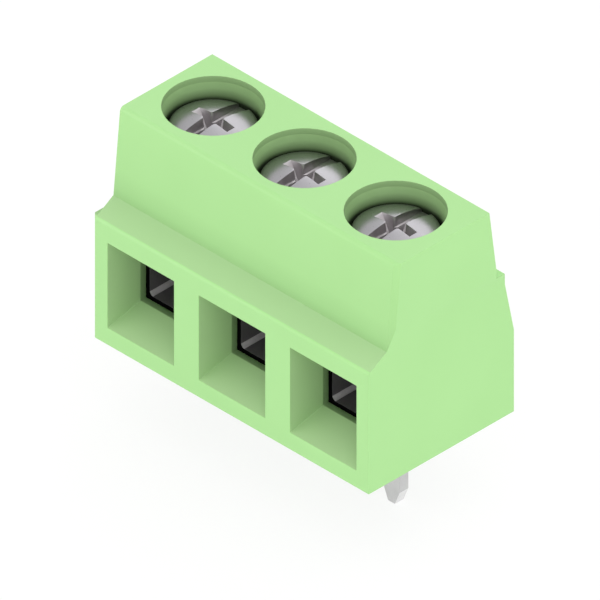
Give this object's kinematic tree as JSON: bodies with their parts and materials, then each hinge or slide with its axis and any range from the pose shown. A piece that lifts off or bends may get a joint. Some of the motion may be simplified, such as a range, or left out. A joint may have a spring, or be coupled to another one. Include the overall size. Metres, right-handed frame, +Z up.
{
  "type": "pcb screw terminal",
  "caption": "Green moulded screw terminal block for a circuit board, with funnel wire entries, rising clamp cages, slot and cross screws, and solder pins.",
  "frame": {"origin": "on the underside of the housing, which is the face of the circuit board, in line with the solder pins and at the middle pole", "axes": "+X along the row of poles, -Y towards the wire entries, +Z up out of the board along the screws"},
  "size_m": [0.0156, 0.0082, 0.0139],
  "materials": {
    "green_moulding": "light green moulded polyamide, fine satin",
    "bright_screw": "bright zinc plated steel",
    "dark_cage": "dark passivated steel sheet",
    "tinned_strip": "tin plated brass strip"
  },
  "bodies": {
    "housing": {"housing": "green_moulding", "contact_1": "tinned_strip", "contact_2": "tinned_strip", "contact_3": "tinned_strip"},
    "clamp_screw_1": {"clamp_screw_1": "bright_screw"},
    "clamp_cage_1": {"clamp_cage_1": "dark_cage"},
    "clamp_screw_2": {"clamp_screw_2": "bright_screw"},
    "clamp_cage_2": {"clamp_cage_2": "dark_cage"},
    "clamp_screw_3": {"clamp_screw_3": "bright_screw"},
    "clamp_cage_3": {"clamp_cage_3": "dark_cage"}
  },
  "joints": [
    {"name": "screw_turn_1", "type": "hinge", "parent": "housing", "child": "clamp_screw_1", "pos_m": [-0.00508, 0, 0.00858], "axis": [0, 0, -1], "range_deg": [0, 1681]},
    {"name": "cage_rise_1", "type": "slide", "parent": "housing", "child": "clamp_cage_1", "axis": [0, 0, 1], "range_m": [0, 0.0021]},
    {"name": "screw_turn_2", "type": "hinge", "parent": "housing", "child": "clamp_screw_2", "pos_m": [0, 0, 0.00858], "axis": [0, 0, -1], "range_deg": [0, 1681]},
    {"name": "cage_rise_2", "type": "slide", "parent": "housing", "child": "clamp_cage_2", "axis": [0, 0, 1], "range_m": [0, 0.0021]},
    {"name": "screw_turn_3", "type": "hinge", "parent": "housing", "child": "clamp_screw_3", "pos_m": [0.00508, 0, 0.00858], "axis": [0, 0, -1], "range_deg": [0, 1681]},
    {"name": "cage_rise_3", "type": "slide", "parent": "housing", "child": "clamp_cage_3", "axis": [0, 0, 1], "range_m": [0, 0.0021]}
  ],
  "couplings": [
    {"joint": "screw_turn_1", "follows": "cage_rise_1", "rad_per_m": 13963},
    {"joint": "screw_turn_2", "follows": "cage_rise_2", "rad_per_m": 13963},
    {"joint": "screw_turn_3", "follows": "cage_rise_3", "rad_per_m": 13963}
  ]
}
